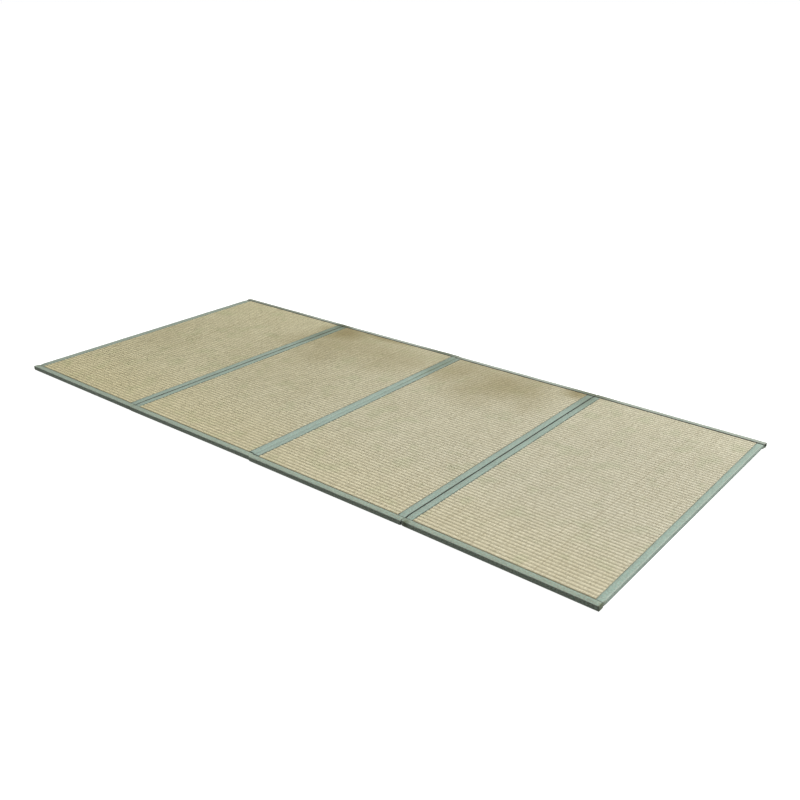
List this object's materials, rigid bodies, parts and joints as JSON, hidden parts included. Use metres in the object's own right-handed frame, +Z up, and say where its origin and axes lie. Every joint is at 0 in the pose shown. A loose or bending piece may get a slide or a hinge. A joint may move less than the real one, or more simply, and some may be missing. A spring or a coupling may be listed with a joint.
{
  "type": "folding tatami mat",
  "caption": "Flat folding rush mat: ribbed rush-faced panels, each bound all round in folded cloth strip and joined end to end by cloth hinge tapes.",
  "frame": {"origin": "centre of the mat's rectangle on the floor it lies on", "axes": "+X along the mat's length, towards panel 4; -Y towards the front long edge; +Z up, out of the rush face"},
  "size_m": [2, 0.906, 0.015],
  "materials": {
    "rush": "woven rush stems, dry satin",
    "binding": "matte cotton twill",
    "hinge_tape": "matte cotton twill"
  },
  "bodies": {
    "root": {"panel_1_rush": "rush", "panel_1_left_binding": "binding", "panel_1_right_binding": "binding", "panel_1_front_binding": "binding", "panel_1_back_binding": "binding", "panel_2_rush": "rush", "panel_2_left_binding": "binding", "panel_2_right_binding": "binding", "panel_2_front_binding": "binding", "panel_2_back_binding": "binding", "panel_3_rush": "rush", "panel_3_left_binding": "binding", "panel_3_right_binding": "binding", "panel_3_front_binding": "binding", "panel_3_back_binding": "binding", "panel_4_rush": "rush", "panel_4_left_binding": "binding", "panel_4_right_binding": "binding", "panel_4_front_binding": "binding", "panel_4_back_binding": "binding", "hinge_tape_1": "hinge_tape", "hinge_tape_2": "hinge_tape", "hinge_tape_3": "hinge_tape"}
  },
  "joints": []
}
